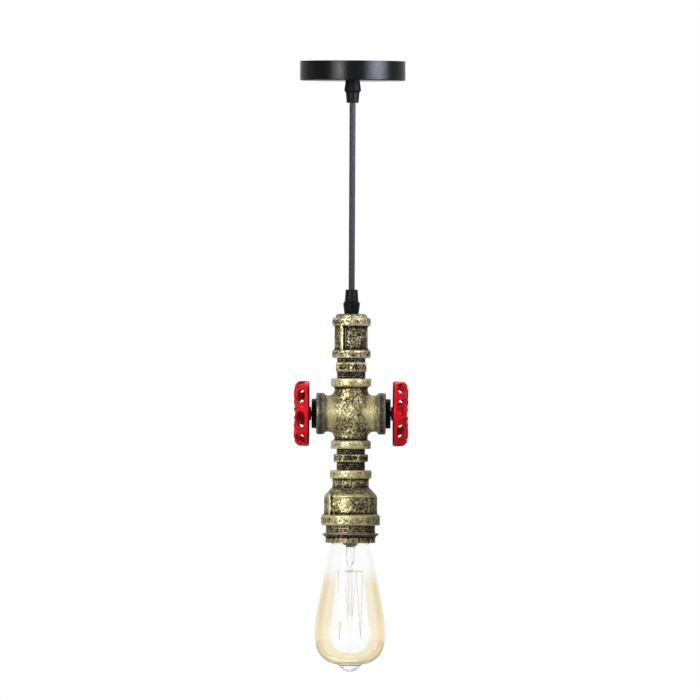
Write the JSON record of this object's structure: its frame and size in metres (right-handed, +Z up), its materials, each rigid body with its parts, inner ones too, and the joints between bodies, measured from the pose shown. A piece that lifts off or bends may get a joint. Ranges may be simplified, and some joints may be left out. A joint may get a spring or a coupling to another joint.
{
  "type": "pipe pendant light",
  "caption": "Ceiling pendant of cast pipe fittings on a cord, with a handwheel on each side arm and a filament bulb in a screw lampholder.",
  "frame": {"origin": "middle of the two ceiling fixings, on the ceiling plane that the canopy and its bracket touch", "axes": "+Z up along the cord, +X through the handwheels towards the right one, the pictured side faces -Y"},
  "size_m": [0.11, 0.1, 0.579],
  "materials": {
    "canopy_black": "satin black paint",
    "zinc_steel": "zinc-plated steel",
    "plain_brass": "plain brass",
    "terminal_white": "moulded white plastic",
    "grip_plastic": "moulded black plastic",
    "cord_sheath": "smooth dark sheath",
    "core_brown": "brown core insulation",
    "core_blue": "blue core insulation",
    "core_green": "green core insulation",
    "copper": "bare copper",
    "antique_brass": "antique brass finish on cast iron, dark in the recesses",
    "thread_dark": "dark patina on threads",
    "plug_black": "blackened iron",
    "wheel_red": "gloss red enamel on casting",
    "stem_steel": "turned steel",
    "holder_black": "moulded black insulator",
    "bulb_glass": "clear glass with an amber tint",
    "inner_glass": "clear glass",
    "cap_brass": "drawn brass cap",
    "contact_metal": "tinned contact",
    "filament_wire": "filament and support wire"
  },
  "bodies": {
    "canopy": {"canopy_cup": "canopy_black", "ceiling_bracket": "zinc_steel", "cup_screws": "zinc_steel", "earth_screw": "plain_brass", "terminal_housing": "terminal_white", "terminal_barrels": "plain_brass", "terminal_screws": "zinc_steel", "canopy_grip_base": "grip_plastic", "canopy_grip_cap": "grip_plastic", "canopy_lock_nut": "zinc_steel", "canopy_sheath": "cord_sheath", "canopy_live_core": "core_brown", "canopy_neutral_core": "core_blue", "canopy_earth_core": "core_green", "earth_link": "core_green"},
    "cord_bend": {"cord_bend": "copper"},
    "lamp": {"cord_top": "cord_sheath", "pendant_cord": "cord_sheath", "lamp_sheath": "cord_sheath", "lamp_grip_cap": "grip_plastic", "lamp_grip_base": "grip_plastic", "lamp_lock_nut": "zinc_steel", "top_plug": "thread_dark", "coupling": "antique_brass", "upper_nipple": "thread_dark", "cross": "antique_brass", "side_plug_left": "plug_black", "side_plug_right": "plug_black", "lower_nipple": "thread_dark", "reducer": "antique_brass", "holder_collar": "thread_dark", "shade_ring": "antique_brass", "lampholder_core": "holder_black", "screw_shell": "plain_brass", "centre_contact": "plain_brass", "holder_terminals": "plain_brass", "lamp_live_core": "core_brown", "lamp_neutral_core": "core_blue", "lamp_earth_core": "core_green"},
    "wheel_left": {"handwheel_left": "wheel_red", "stem_left": "stem_steel", "wheel_nut_left": "stem_steel"},
    "wheel_right": {"handwheel_right": "wheel_red", "stem_right": "stem_steel", "wheel_nut_right": "stem_steel"},
    "bulb_tip": {"bulb_tip": "contact_metal"},
    "bulb": {"bulb_cap": "cap_brass", "cap_insulator": "holder_black", "bulb_glass": "bulb_glass", "glass_stem": "inner_glass", "filament_supports": "filament_wire", "filament": "filament_wire"}
  },
  "joints": [
    {"name": "swing_sideways", "type": "hinge", "parent": "canopy", "child": "cord_bend", "pos_m": [0, 0, -0.0395], "axis": [0, 1, 0], "range_deg": [-25, 25]},
    {"name": "swing_forwards", "type": "hinge", "parent": "cord_bend", "child": "lamp", "pos_m": [0, 0, -0.0395], "axis": [1, 0, 0], "range_deg": [-25, 25]},
    {"name": "left_wheel_turn", "type": "hinge", "parent": "lamp", "child": "wheel_left", "pos_m": [-0.035, 0, -0.3341], "axis": [1, 0, 0], "continuous": true},
    {"name": "right_wheel_turn", "type": "hinge", "parent": "lamp", "child": "wheel_right", "pos_m": [0.035, 0, -0.3341], "axis": [1, 0, 0], "continuous": true},
    {"name": "bulb_travel", "type": "slide", "parent": "lamp", "child": "bulb_tip", "axis": [0, 0, -1], "range_m": [0, 0.0182]},
    {"name": "bulb_turn", "type": "hinge", "parent": "bulb_tip", "child": "bulb", "pos_m": [0, 0, -0.44], "axis": [0, 0, -1], "range_deg": [0, 1800]}
  ],
  "couplings": [
    {"joint": "bulb_travel", "follows": "bulb_turn", "m_per_rad": 0.00057773}
  ]
}
